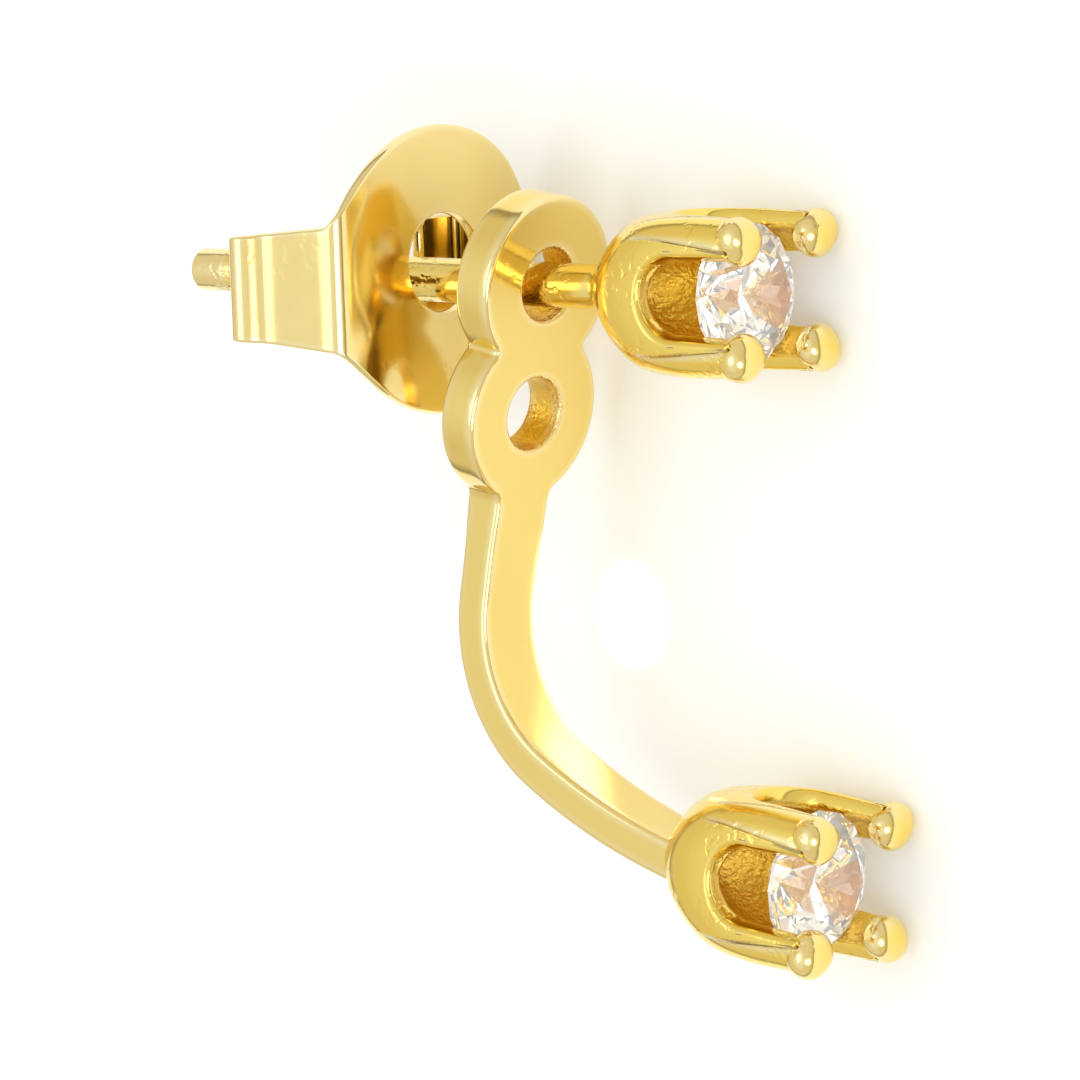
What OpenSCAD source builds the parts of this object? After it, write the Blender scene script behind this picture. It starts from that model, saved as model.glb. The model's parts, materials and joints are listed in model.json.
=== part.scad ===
// Ear jacket earring: a stud with a claw-set stone, a jacket that hangs on the
// stud's post and carries a second stone in front of the lobe's lower edge, and
// a butterfly clutch. It lies on its side, as it would when put down.
// Millimetres, +Z up, origin under the middle of the outline, on the surface.

/* [Post] */
// Diameter of the post
post_d = 0.9; // [0.6:0.05:1.1]
// Length of the post behind the upper setting
post_len = 11.55; // [10:0.05:14]
// Width of the notch near the post's end
notch_w = 0.55; // [0.2:0.05:0.6]
// Depth of the notch
notch_depth = 0.09; // [0.05:0.01:0.15]
// Length of the plain tip behind the notch
tip_len = 0.9; // [0.6:0.05:1.5]

/* [Stones] */
// Diameter of each stone at its girdle
stone_d = 2.84; // [2.4:0.02:3]
// Height of the crown, from girdle to table
crown_h = 0.46; // [0.35:0.01:0.6]
// Depth of the pavilion, from girdle to point
pavilion_h = 1.2; // [1:0.02:1.3]
// Thickness of the girdle
girdle_t = 0.08; // [0.04:0.01:0.12]
// Diameter of the table
table_d = 1.62; // [1.2:0.02:1.8]

/* [Settings] */
// Width of a setting across its flat sides
cup_w = 3.2; // [3:0.02:3.6]
// Height of a setting from its back to the centre of its claw beads
claw_h = 4.5; // [4.2:0.05:5]
// Width of each claw
claw_w = 0.85; // [0.6:0.01:0.95]
// Diameter of the bead on each claw
bead_d = 0.86; // [0.6:0.01:1]
// Height of the lowest point of each arch between two claws
arch_h = 2.2; // [1.9:0.05:2.6]
// Height of the stone's girdle above the setting's back
seat_h = 3.6; // [3.4:0.02:3.8]
// Thickness of solid metal at the setting's back
floor_h = 0.9; // [0.7:0.05:1.2]
// Height over which the bowl widens, from its floor to the stone's width
bowl_h = 2.4; // [2:0.05:2.6]

/* [Jacket] */
// Outer diameter of each eyelet
eyelet_d = 3.62; // [3.2:0.02:4]
// Diameter of both holes
hole_d = 1.48; // [1.3:0.01:1.6]
// Distance between the two holes
hole_pitch = 2.66; // [2.4:0.02:3]
// Thickness of the eyelet plate
plate_t = 0.9; // [0.7:0.02:1.1]
// Gap along the post from the upper setting to the plate
plate_gap = 1.6; // [1.2:0.05:2]
// Width of the arm
arm_w = 1.5; // [1.2:0.02:1.8]
// Thickness of the arm
arm_t = 0.8; // [0.6:0.02:0.9]
// Drop from the upper hole to where the arm starts to bend
arm_drop = 6.5; // [5:0.1:8]
// Radius of the arm's bend, at mid-thickness
bend_r = 3.3; // [2.6:0.05:4]
// Angle of the bend
bend_angle = 70; // [60:1:76]
// Radius of the flatter sweep after the bend, at mid-thickness
sweep_r = 14; // [10:0.5:20]
// Angle of the flatter sweep
sweep_angle = 14.5; // [8:0.5:16]
// Upward tilt of the lower setting
cup_tilt = 5.5; // [0:0.5:10]
// Lean of the loose jacket on the post
lean = 10; // [4:0.5:14]

/* [Clutch] */
// Diameter of the clutch's disc
disc_d = 5.9; // [5:0.05:6.5]
// Thickness of the clutch's sheet
sheet_t = 0.26; // [0.2:0.01:0.35]
// Diameter of the hole in the disc
clutch_hole_d = 2; // [1.8:0.05:2.2]
// Gap along the post from the plate to the disc
clutch_gap = 2.0; // [1.6:0.05:3]
// How far the disc sits above the post's axis
disc_rise = 0.22; // [0:0.02:0.3]
// How far the hole in the disc sits above the post's axis
hole_rise = 0.36; // [0:0.02:0.44]
// Half width of the flat middle of the disc
flat_half = 1.3; // [1.1:0.05:1.6]
// Distance between the two folds at the disc's sides
fold_w = 5.5; // [5.2:0.05:5.7]
// How far the disc's sides slope back
side_slope = 0.26; // [0.16:0.02:0.4]
// Width of the strip at the fold
strip_w = 2.55; // [2.2:0.05:2.8]
// Width of the strip at its curled end
strip_end_w = 2.1; // [1.8:0.05:2.2]
// Depth of the flat side band behind the fold
band_len = 1.8; // [1.6:0.05:2.4]
// How far the flat side band flares outwards
band_flare = 0.18; // [0:0.02:0.3]
// Depth, and also spread, of the bevelled band behind it
bevel_len = 0.42; // [0.3:0.02:0.6]

/* [Hidden] */

// Clearance between a stone and its setting
stone_gap = 0.02;
// Clearance between the clutch's springy ends and the post
grip_gap = 0.03;
// Overlap that makes a cut run past a face, or sinks one solid into the next
bite = 0.2;
post_r = post_d / 2;
notch_r = post_r - notch_depth;
stone_r = stone_d / 2;
bead_r = bead_d / 2;
cup_half = cup_w / 2;
hole_r = hole_d / 2;
eyelet_r = eyelet_d / 2;
disc_r = disc_d / 2;
// Round edge of a claw, and distance of a claw's centre from the two mid planes
claw_r = claw_w / 2;
claw_off = cup_half - claw_r;
arch_r = cup_half - claw_w;

// Rounded back of a setting: radius at a height, a superellipse
cup_reach = claw_off * sqrt(2) + claw_r;
dome_h = 3.4;
dome_power = 0.58;
function cup_radius(h) = cup_reach * pow(1 - pow(1 - min(h, dome_h) / dome_h, 2), dome_power);
// Steps of the curve, closer together towards the back
dome_steps = 14;
step_power = 1.6;
function step_share(i) = pow(i / dome_steps, step_power);
dome_points = [for (i = [1:dome_steps]) let (h = dome_h * step_share(i)) [cup_radius(h), h]];
// Hollow bowl inside it, with the same kind of curve
bowl_r = stone_r + stone_gap;
function bowl_radius(h) = bowl_r * pow(1 - pow(1 - h / bowl_h, 2), dome_power);
bowl_points = [for (i = [1:dome_steps]) let (h = bowl_h * step_share(i)) [bowl_radius(h), floor_h + h]];

module rounded_square(half, r, h) {
    linear_extrude(h) {
        square([2 * (half - r), 2 * half], center = true);
        square([2 * half, 2 * (half - r)], center = true);
        for (sx = [-1, 1], sy = [-1, 1])
            translate([sx * (half - r), sy * (half - r)])
                circle(r = r, $fn = 48);
    }
}

// A four-claw setting, standing on its rounded back with the claws up
module setting() {
    difference() {
        intersection() {
            rotate_extrude($fn = 96)
                polygon(concat([[0, 0]], dome_points, [[cup_reach, claw_h], [0, claw_h]]));
            rounded_square(cup_half, claw_r, claw_h);
        }
        // Arches between the claws
        for (turn = [0, 90])
            rotate([0, 0, turn]) {
                translate([0, 0, arch_h + arch_r])
                    rotate([90, 0, 0])
                        cylinder(r = arch_r, h = 2 * cup_w, center = true, $fn = 64);
                translate([-arch_r, -cup_w, arch_h + arch_r])
                    cube([2 * arch_r, 2 * cup_w, claw_h]);
            }
        rotate_extrude($fn = 96)
            polygon(concat([[0, floor_h]], bowl_points, [[bowl_r, claw_h + bead_d], [0, claw_h + bead_d]]));
    }
    for (sx = [-1, 1], sy = [-1, 1])
        translate([sx * claw_off, sy * claw_off, claw_h])
            sphere(r = bead_r, $fn = 32);
}

// A round brilliant with its table up and its point down, girdle at height 0.
// Rings of corners: table, crown middle, upper and lower girdle, pavilion, point
half_facet = 360 / 16;
half_girdle = girdle_t / 2;
table_r = table_d / 2;
table_h = half_girdle + crown_h;
point_h = -half_girdle - pavilion_h;
// Corners at mid crown, as shares of the girdle's and the table's radius, and
// corners on the pavilion, as a share of the girdle's
girdle_share = 0.53;
table_share = 0.52;
pavilion_share = 0.28;
crown_r = stone_r * girdle_share + table_r * table_share;
pavilion_r = stone_r * pavilion_share;
// Heights that keep the kite facets and the pavilion mains flat
crown_mid_h = table_h - crown_h * (crown_r * cos(half_facet) - table_r) / (stone_r - table_r);
pavilion_mid_h = point_h + pavilion_h * pavilion_r * cos(half_facet) / stone_r;

function ring(r, h, count, turn) =
    [for (i = [0:count - 1]) let (a = 360 * i / count + turn) [r * cos(a), r * sin(a), h]];

module brilliant() {
    polyhedron(
        points = concat(
            ring(table_r, table_h, 8, 0),
            ring(crown_r, crown_mid_h, 8, half_facet),
            ring(stone_r, half_girdle, 16, 0),
            ring(stone_r, -half_girdle, 16, 0),
            ring(pavilion_r, pavilion_mid_h, 8, half_facet),
            [[0, 0, point_h]]
        ),
        // Corners are counted in that order: 8 at the table, the crown middle
        // from 8, the upper girdle from 16, the lower from 32, the pavilion
        // from 48, and the point is 56
        faces = concat(
            [[for (i = [7:-1:0]) i]],
            [for (i = [0:7]) [(i + 1) % 8, 8 + i, i]],
            [for (i = [0:7]) [8 + i, 16 + 2 * i, 8 + (i + 7) % 8, i]],
            [for (i = [0:7]) [16 + 2 * i + 1, 16 + 2 * i, 8 + i]],
            [for (i = [0:7]) [16 + (2 * i + 2) % 16, 16 + 2 * i + 1, 8 + i]],
            [for (j = [0:15]) [16 + j, 16 + (j + 1) % 16, 32 + (j + 1) % 16, 32 + j]],
            [for (i = [0:7]) [48 + i, 32 + 2 * i, 32 + 2 * i + 1]],
            [for (i = [0:7]) [48 + i, 32 + 2 * i + 1, 32 + (2 * i + 2) % 16]],
            [for (i = [0:7]) [56, 48 + (i + 7) % 8, 32 + 2 * i, 48 + i]]
        )
    );
}

// Places of the stud: its axis lies along X, with the stone in front
module along_post() {
    rotate([0, 90, 0]) children();
}

// Places of the jacket: the plate's front face is the plane X = 0 round the
// upper hole, the arm hangs down along -Z
module on_plate() {
    translate([-plate_gap, 0, 0]) rotate([0, lean, 0]) children();
}

// Middle line of the arm seen from the side, from the plate to the setting
arm_x = -plate_t / 2;
bend_centre = [arm_x + bend_r, -arm_drop];
function bend_point(a) = bend_centre + bend_r * [-cos(a), -sin(a)];
bend_end = bend_point(bend_angle);
sweep_centre = bend_end + sweep_r * [cos(bend_angle), sin(bend_angle)];
function sweep_point(a) = sweep_centre - sweep_r * [cos(bend_angle + a), sin(bend_angle + a)];
cup_back = sweep_point(sweep_angle);

// A band along an arc in the side view, as wide as the arm. It starts a little
// early, so that it laps into the stretch before it
lap_angle = 1.5;
module arc_band(centre, r, from, sweep) {
    translate([centre[0], 0, centre[1]])
        rotate([90, 0, 0])
            rotate([0, 0, 180 + from - lap_angle])
                rotate_extrude(angle = sweep + lap_angle, $fn = 256)
                    translate([r - arm_t / 2, -arm_w / 2])
                        square([arm_t, arm_w]);
}

module at_lower_cup() {
    translate([cup_back[0], 0, cup_back[1]]) rotate([0, 90 - cup_tilt, 0]) children();
}

// Curled outline of the clutch seen from above: the sheet's middle line on one
// side, from the disc's middle to the springy end beside the post
plate_back = -plate_gap - plate_t;
disc_x = plate_back - clutch_gap - sheet_t / 2;
fold_half = fold_w / 2;
// Share of the slope that is taken up half way to the fold
mid_share = 0.3;
fold_x = disc_x - side_slope;
band_x = fold_x - band_len;
bevel_x = band_x - bevel_len;
wing_half = fold_half + band_flare + bevel_len;
grip_half = post_r + grip_gap + sheet_t / 2;
// How far the curl reaches behind the bevelled band, and how far the springy
// end comes forward inside the bands
curl_depth = 0.3;
spring_len = band_len / 2;
curl_back = bevel_x - curl_depth;
wing_line = [
    [disc_x, 0],
    [disc_x, flat_half],
    [disc_x - side_slope * mid_share, (flat_half + fold_half) / 2],
    [fold_x, fold_half],
    [band_x, fold_half + band_flare],
    [bevel_x, wing_half],
    [curl_back + curl_depth / 5, wing_half - curl_depth / 2],
    [curl_back, wing_half - curl_depth * 3 / 2],
    [curl_back + curl_depth / 2, (wing_half + grip_half) / 2],
    [bevel_x + curl_depth * 2, (wing_half + grip_half) / 3],
    [band_x + spring_len, grip_half]
];
clutch_back = curl_back - sheet_t / 2;

// One flat stretch of the sheet, with round ends that close each fold
module sheet_run(a, b) {
    d = b - a;
    translate(a)
        rotate(atan2(d[1], d[0]))
            translate([0, -sheet_t / 2])
                square([norm(d), sheet_t]);
    translate(a) circle(d = sheet_t, $fn = 24);
    translate(b) circle(d = sheet_t, $fn = 24);
}

module wing_outline() {
    for (side = [0, 1])
        mirror([0, side])
            for (i = [0:len(wing_line) - 2])
                sheet_run(wing_line[i], wing_line[i + 1]);
}

// Side view of the strips, which taper to their curled ends
module strip_side_view() {
    polygon([
        [fold_x + sheet_t, strip_w / 2],
        [clutch_back - bite, strip_end_w / 2],
        [clutch_back - bite, -strip_end_w / 2],
        [fold_x + sheet_t, -strip_w / 2]
    ]);
}

// The floor in the worn frame: its downward normal makes the angle rest_tilt
// with +Y, and it touches the claw beads and the clutch's far wing
bead_out = claw_off + bead_r;
wing_out = wing_half + sheet_t / 2;
rest_tilt = atan2(wing_out - bead_out, claw_h - bevel_x);
function reach_down(x, y) = x * sin(rest_tilt) + y * cos(rest_tilt);
floor_reach = max(reach_down(claw_h, claw_off) + bead_r, reach_down(bevel_x, wing_half) + sheet_t / 2);

// Lower claw beads in the worn frame, before the jacket swings on the post
bead_along = cup_back + claw_h * [cos(cup_tilt), sin(cup_tilt)];
function worn(p) = [-plate_gap + p[0] * cos(lean) + p[1] * sin(lean), -p[0] * sin(lean) + p[1] * cos(lean)];
function lower_bead(side) = worn(bead_along + side * claw_off * [-sin(cup_tilt), cos(cup_tilt)]);
// Swing of the jacket that lays one lower bead on the floor: y then has to be
// claw_off * cos(swing) - z * sin(swing) = level
function swing_for(bead) =
    let (level = (floor_reach - bead_r - bead[0] * sin(rest_tilt)) / cos(rest_tilt))
    let (span = norm([claw_off, bead[1]]))
    atan2(-bead[1], claw_off) - acos(level / span);
swing = min(swing_for(lower_bead(1)), swing_for(lower_bead(-1)));

// Middle of the outline on the floor: the post's end, the near lower beads, the
// lowest bead and the top of the disc are the furthest points
near_y = -claw_off * cos(swing) - lower_bead(-1)[1] * sin(swing);
low_x = -post_len * cos(rest_tilt) - post_r * sin(rest_tilt);
high_x = max(lower_bead(1)[0], lower_bead(-1)[0]) * cos(rest_tilt) - near_y * sin(rest_tilt) + bead_r;
low_y = lower_bead(-1)[1] * cos(swing) - bead_r;
high_y = disc_r + disc_rise;
middle = [(low_x + high_x) / 2, (low_y + high_y) / 2];

// Lays the worn frame on its far side, with the beads and wing on the floor
module lying() {
    translate([-middle[0], -middle[1], floor_reach])
        rotate([0, rest_tilt, 0])
            rotate([-90, 0, 0])
                children();
}

module swung() {
    rotate([swing, 0, 0]) children();
}

module stud() {
    notch_x = post_len - tip_len;
    color("gold") lying() along_post() {
        setting();
        translate([0, 0, -notch_x + notch_w]) cylinder(r = post_r, h = notch_x - notch_w + bite, $fn = 64);
        // The notch: two cones that meet at its bottom
        translate([0, 0, -notch_x + notch_w / 2])
            cylinder(r1 = notch_r, r2 = post_r, h = notch_w / 2, $fn = 64);
        translate([0, 0, -notch_x])
            cylinder(r1 = post_r, r2 = notch_r, h = notch_w / 2, $fn = 64);
        translate([0, 0, -post_len + notch_depth]) cylinder(r = post_r, h = tip_len - notch_depth, $fn = 64);
        translate([0, 0, -post_len])
            cylinder(r1 = notch_r, r2 = post_r, h = notch_depth, $fn = 64);
    }
}

module upper_stone() {
    color("white", 0.6) lying() along_post() translate([0, 0, seat_h]) brilliant();
}

module jacket() {
    color("gold") lying() swung() on_plate() {
        difference() {
            union() {
                for (drop = [0, hole_pitch])
                    translate([-plate_t, 0, -drop])
                        rotate([0, 90, 0])
                            cylinder(r = eyelet_r, h = plate_t, $fn = 96);
                // Straight stretch of the arm, rooted in the lower eyelet
                translate([arm_x - arm_t / 2, -arm_w / 2, -arm_drop])
                    cube([arm_t, arm_w, arm_drop - hole_pitch]);
            }
            for (drop = [0, hole_pitch])
                translate([-plate_t - bite, 0, -drop])
                    rotate([0, 90, 0])
                        cylinder(r = hole_r, h = plate_t + 2 * bite, $fn = 64);
        }
        arc_band(bend_centre, bend_r, 0, bend_angle);
        arc_band(sweep_centre, sweep_r, bend_angle, sweep_angle + lap_angle);
        at_lower_cup() setting();
    }
}

module lower_stone() {
    color("white", 0.6) lying() swung() on_plate() at_lower_cup() translate([0, 0, seat_h]) brilliant();
}

// A round bar along X that covers the disc's depth
module through_disc(r, rise) {
    translate([fold_x, 0, rise])
        rotate([0, 90, 0])
            cylinder(r = r, h = disc_x + sheet_t - fold_x, $fn = 96);
}

module clutch() {
    color("goldenrod") lying() difference() {
        intersection() {
            translate([0, 0, -disc_d]) linear_extrude(2 * disc_d) wing_outline();
            union() {
                through_disc(disc_r, disc_rise);
                rotate([90, 0, 0])
                    translate([0, 0, -disc_d])
                        linear_extrude(2 * disc_d)
                            strip_side_view();
            }
        }
        through_disc(clutch_hole_d / 2, hole_rise);
    }
}

stud();
upper_stone();
jacket();
lower_stone();
clutch();
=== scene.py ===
# %% [markdown]
# # An ear jacket earring
#
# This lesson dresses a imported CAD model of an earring: a stud with a claw-set stone,
# a jacket that hangs on its post and carries a second stone below the first, and a
# butterfly clutch. It lies on its side on a pale table, as it would when put down.
#
# The CAD model gives the sizes and the places. The scene gives what a jeweller
# gives at the end: soft cast forms, rounded edges, polish and sparkle.

# %% Load the frame
import json
import bmesh
import bpy
import numpy as np
from mathutils import Matrix


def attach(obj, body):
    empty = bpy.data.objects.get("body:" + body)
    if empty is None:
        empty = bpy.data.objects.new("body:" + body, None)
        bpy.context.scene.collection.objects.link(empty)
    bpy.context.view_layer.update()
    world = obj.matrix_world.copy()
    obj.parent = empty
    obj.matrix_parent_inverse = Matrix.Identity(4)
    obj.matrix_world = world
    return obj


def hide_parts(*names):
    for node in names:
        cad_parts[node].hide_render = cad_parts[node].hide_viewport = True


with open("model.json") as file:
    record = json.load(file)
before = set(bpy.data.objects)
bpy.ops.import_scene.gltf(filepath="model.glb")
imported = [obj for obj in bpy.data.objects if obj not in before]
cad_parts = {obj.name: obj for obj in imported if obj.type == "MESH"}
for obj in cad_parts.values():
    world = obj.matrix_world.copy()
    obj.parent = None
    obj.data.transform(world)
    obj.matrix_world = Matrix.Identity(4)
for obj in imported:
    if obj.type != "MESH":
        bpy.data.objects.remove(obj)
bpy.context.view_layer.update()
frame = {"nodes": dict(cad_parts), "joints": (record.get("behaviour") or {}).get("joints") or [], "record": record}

MM = 0.001

# %% [markdown]
# ## Where things are
#
# Shapes are worked out in millimetres, in two frames that are easy to think in. In
# the worn frame the post lies along X, with the stone in front, Y points away from
# the camera's side and Z is up. In the jacket's frame the plate's front face is the
# plane X = 0 and the arm hangs down along -Z. Typed-in matrices would have to be
# fitted by eye, so both are read off the record, from the swing joint and the empty
# eyelet.

# %% The two frames, read off the record
PLATE_T, PLATE_GAP = 0.9, 1.6  # the jacket's plate, and how far it hangs behind the setting

joints = {joint["name"]: joint for joint in frame["joints"]}
mounts = {mount["name"]: mount for mount in frame["record"]["mounts"]}
swing_at = np.array(joints["jacket_swing"]["pos_m"]) / MM
spare_hole = np.array(mounts["spare_eyelet"]["pos_m"]) / MM


def unit(vector):
    """The same direction with length one, along the last axis."""
    vector = np.asarray(vector, float)
    return vector / np.linalg.norm(vector, axis=-1, keepdims=True)


FORWARD = -unit(joints["jacket_swing"]["axis"])
UP = np.array([0.0, 1.0, 0.0])
AWAY = np.cross(UP, FORWARD)
WORN_ORIGIN = swing_at + FORWARD * (PLATE_GAP + PLATE_T / 2)

PLATE_AXIS = unit(mounts["spare_eyelet"]["axis"])
PLATE_FRONT = WORN_ORIGIN - PLATE_GAP * FORWARD
PLATE_UP = unit(PLATE_FRONT - PLATE_AXIS * PLATE_T / 2 - spare_hole)
PLATE_AWAY = np.cross(PLATE_UP, PLATE_AXIS)


def from_worn(points):
    """Worn frame to the frame of the CAD."""
    return WORN_ORIGIN + points @ np.stack([FORWARD, AWAY, UP])


def from_jacket(points):
    """Jacket frame to the frame of the CAD."""
    return PLATE_FRONT + points @ np.stack([PLATE_AXIS, PLATE_AWAY, PLATE_UP])


print("post points to", np.round(-FORWARD, 3), "and the plate faces", np.round(PLATE_AXIS, 3))

# %% [markdown]
# ## Camera first
#
# The picture's viewing direction was found by matching the claw beads, the two
# holes and the post's end. A constraint could turn the camera to a target, but its
# roll would need a number of its own. Here the directions that the picture calls
# right, up and towards the viewer make its turn. A long lens keeps the lines nearly
# parallel, as in a catalogue picture.

# %% Camera
VIEW_RIGHT = np.array([0.61251, -0.03403, -0.78973])
VIEW_TOWARDS = unit([0.7864, 0.12747, 0.60443])
VIEW_UP = unit(np.cross(VIEW_TOWARDS, VIEW_RIGHT))
VIEW_RIGHT = np.cross(VIEW_UP, VIEW_TOWARDS)
LENS, SENSOR = 200.0, 36.0
NEAR, FAR = 0.005, 5.0  # metres
FILL = 0.80  # share of the picture that the longer side takes

corners = np.array([v.co for node in frame["nodes"].values() for v in node.data.vertices]) / MM
across, along = corners @ VIEW_RIGHT, corners @ VIEW_UP
span = max(np.ptp(across), np.ptp(along))
middle = (VIEW_RIGHT * (across.min() + across.max()) / 2
          + VIEW_UP * (along.min() + along.max()) / 2
          + VIEW_TOWARDS * np.median(corners @ VIEW_TOWARDS))
distance = span / FILL * LENS / SENSOR


def placed(directions, where):
    """Matrix for an object with these X, Y and Z directions, at a place in millimetres."""
    matrix = np.eye(4)
    matrix[:3, :3] = np.stack(directions, axis=1)
    matrix[:3, 3] = np.asarray(where) * MM
    return Matrix(matrix.tolist())


camera = bpy.data.objects.new("camera", bpy.data.cameras.new("camera"))
bpy.context.scene.collection.objects.link(camera)
camera.data.lens, camera.data.sensor_width = LENS, SENSOR
camera.data.clip_start, camera.data.clip_end = NEAR, FAR
camera.matrix_world = placed([VIEW_RIGHT, VIEW_UP, VIEW_TOWARDS], middle + VIEW_TOWARDS * distance)
bpy.context.scene.camera = camera
downwards = np.degrees(np.arcsin(VIEW_TOWARDS[2]))
print(f"camera {distance:.0f} mm away, looking down {downwards:.1f} degrees")

# %% [markdown]
# ## Helpers for surfaces
#
# Every metal piece is a grid of points, or a few grids that share their borders.
# A grid gives quads between neighbours, and points that fall together, as at a
# pole or along a shared border, are merged into one. After that the shell is
# closed, and Blender can turn all its faces outwards. Modifiers could round a
# rougher mesh, but a grid puts its points where the metal bends.

# %% Soft steps and grids
def smooth_step(x):
    """Nought below 0, one above 1, and 3x^2 - 2x^3 between."""
    x = np.clip(x, 0.0, 1.0)
    return x * x * (3 - 2 * x)


def smooth_max(a, b, soft):
    """The larger of two values, with the corner between them rounded over soft."""
    h = np.clip(0.5 + 0.5 * (a - b) / soft, 0.0, 1.0)
    return b + (a - b) * h + soft * h * (1 - h)


def points_from(*values):
    """Points from their coordinates, each an array or one number for all of them."""
    return np.stack(np.broadcast_arrays(*values), axis=-1)


def half_round(count, power):
    """Cosine and sine from 0 to 180 degrees, each raised to a power.

    A power of 1 is a half circle, and less is squarer, as on a filed edge.
    """
    angle = np.linspace(0, np.pi, count)
    c, s = np.cos(angle), np.sin(angle)
    return np.sign(c) * np.abs(c) ** power, np.abs(s) ** power


def grid_quads(rows, cols, wrap_rows=False, wrap_cols=False, keep=None):
    """Quads between a grid's neighbours, in row order. keep says which of them stay."""
    i = np.arange(rows if wrap_rows else rows - 1)
    j = np.arange(cols if wrap_cols else cols - 1)
    i, j = np.meshgrid(i, j, indexing="ij")
    i2, j2 = (i + 1) % rows, (j + 1) % cols
    quads = np.stack([i * cols + j, i * cols + j2, i2 * cols + j2, i2 * cols + j], axis=-1)
    return quads[keep] if keep is not None else quads.reshape(-1, 4)


# %% [markdown]
# ## Wear and the finished object
#
# Fingers and a polishing cloth rub a tight outer edge harder than a flat. A noise
# could stand for the wear, but here it is measured from the mesh, so it falls where
# a hand would rub. It goes into the mesh as an attribute, as does the mask of what
# was left as cast, which also marks where the gold is painted darker as shade.

# %% Wear and the finished object
FLAT_BEND, SHARP_BEND = 1.0, 4.0  # radians a mm: radii of 1 mm and of a quarter of a mm
WELD = 1e-4  # mm: points closer than this become one


def edge_wear(mesh):
    """Nought on flat metal and one on sharp outer edges, for every point.

    Along each mesh edge the bend is (turn of the normal . edge) / length^2. A point
    takes the strongest bend round it.
    """
    def read(items, name, width, kind=float):
        values = np.empty(len(items) * width, kind)
        items.foreach_get(name, values)
        return values.reshape(-1, width)

    points, normals = (read(mesh.vertices, name, 3) for name in ("co", "normal"))
    a, b = read(mesh.edges, "vertices", 2, np.int64).T
    step, turn = (points[b] - points[a]) / MM, normals[b] - normals[a]
    bend = np.sum(turn * step, axis=1) / np.maximum(np.sum(step * step, axis=1), 1e-9)
    strongest = np.zeros(len(mesh.vertices))
    np.maximum.at(strongest, a, bend)
    np.maximum.at(strongest, b, bend)
    return smooth_step((strongest - FLAT_BEND) / (SHARP_BEND - FLAT_BEND))


def weld_shell(shell, mask):
    """One closed mesh from a shell's grids, and how many edges it leaves open.

    Points that fall together are welded, and the faces are turned outwards. mask
    is None or one value a point.
    """
    points = np.concatenate([p.reshape(-1, 3) for p, _ in shell])
    starts = np.cumsum([0] + [p.size // 3 for p, _ in shell[:-1]])
    quads = np.concatenate([q + start for (_, q), start in zip(shell, starts)])
    mesh = bpy.data.meshes.new("shell")
    mesh.from_pydata((points * MM).tolist(), [], quads.tolist())
    if mask is not None:
        cast_and_shaded = mesh.attributes.new("cast_and_shaded", "FLOAT", "POINT")
        cast_and_shaded.data.foreach_set("value", np.ravel(mask))
    part = bmesh.new()
    part.from_mesh(mesh)
    bmesh.ops.remove_doubles(part, verts=part.verts, dist=WELD * MM)
    loose = [v for v in part.verts if not v.link_faces]
    bmesh.ops.delete(part, geom=loose, context="VERTS")
    bmesh.ops.recalc_face_normals(part, faces=part.faces)
    open_edges = sum(not e.is_manifold for e in part.edges)
    part.to_mesh(mesh)
    part.free()
    return mesh, open_edges


def make_piece(name, shells, body, material, replaces=(), masks=None):
    """Builds one object from closed shells, each a list of (points in mm, quads).

    masks has an array or None for each shell: one where the metal is as cast and painted darker as shade.
    """
    joined = bmesh.new()
    joined.verts.layers.float.new("cast_and_shaded")
    open_edges = 0
    for shell, mask in zip(shells, masks or [None] * len(shells)):
        mesh, left_open = weld_shell(shell, mask)
        joined.from_mesh(mesh)
        bpy.data.meshes.remove(mesh)
        open_edges += left_open
    mesh = bpy.data.meshes.new(name)
    joined.to_mesh(mesh)
    joined.free()
    mesh.polygons.foreach_set("use_smooth", np.ones(len(mesh.polygons), bool))
    mesh.attributes.new("wear", "FLOAT", "POINT").data.foreach_set("value", edge_wear(mesh))
    mesh.materials.append(material)
    piece = bpy.data.objects.new(name, mesh)
    bpy.context.scene.collection.objects.link(piece)
    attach(piece, body)
    if replaces:
        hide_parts(*replaces)
    size = np.ptp(np.array([v.co for v in mesh.vertices]), axis=0) / MM
    print(f"{name}: {len(mesh.polygons)} faces, {open_edges} open edges, {np.round(size, 2)} mm")

# %% [markdown]
# ## Finishes
#
# Yellow gold plate owes its look to what it mirrors, so the finish itself is
# quiet. A painted texture would slide over the claws, so it is all noise in the
# object's own space. Two effects are shared by all the metal and are node groups:
# the tone of the plating, which is paler on worn edges and deeper where it pooled,
# and the polish, which is never quite flat and on cast metal has pits, in patches.

# %% Small helpers for nodes
def new_group(name, inputs, outputs):
    """A node group with named sockets and their starting values, and its two end nodes."""
    group = bpy.data.node_groups.new(name, "ShaderNodeTree")
    for direction, sockets in (("INPUT", inputs), ("OUTPUT", outputs)):
        for socket, value in sockets.items():
            kind = "NodeSocketColor" if isinstance(value, tuple) else "NodeSocketFloat"
            made = group.interface.new_socket(name=socket, in_out=direction, socket_type=kind)
            made.default_value = value
    return group, group.nodes.new("NodeGroupInput"), group.nodes.new("NodeGroupOutput")


def feed(tree, socket, value):
    """Sets a socket's value, or links another socket to it."""
    if isinstance(value, bpy.types.NodeSocket):
        tree.links.new(value, socket)
    else:
        socket.default_value = value


def node(tree, kind, *values, **settings):
    """A new node, with values for its first inputs.

    Settings with a lower-case name are properties, others are named inputs.
    """
    made = tree.nodes.new(kind)
    for key, value in settings.items():
        if key[0].islower():
            setattr(made, key, value)
        else:
            feed(tree, made.inputs[key.replace("_", " ")], value)
    for socket, value in zip(made.inputs, values):
        feed(tree, socket, value)
    return made


def math_node(tree, operation, *values):
    """A Math node whose inputs are sockets or numbers."""
    return node(tree, "ShaderNodeMath", *values, operation=operation).outputs[0]


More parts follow.
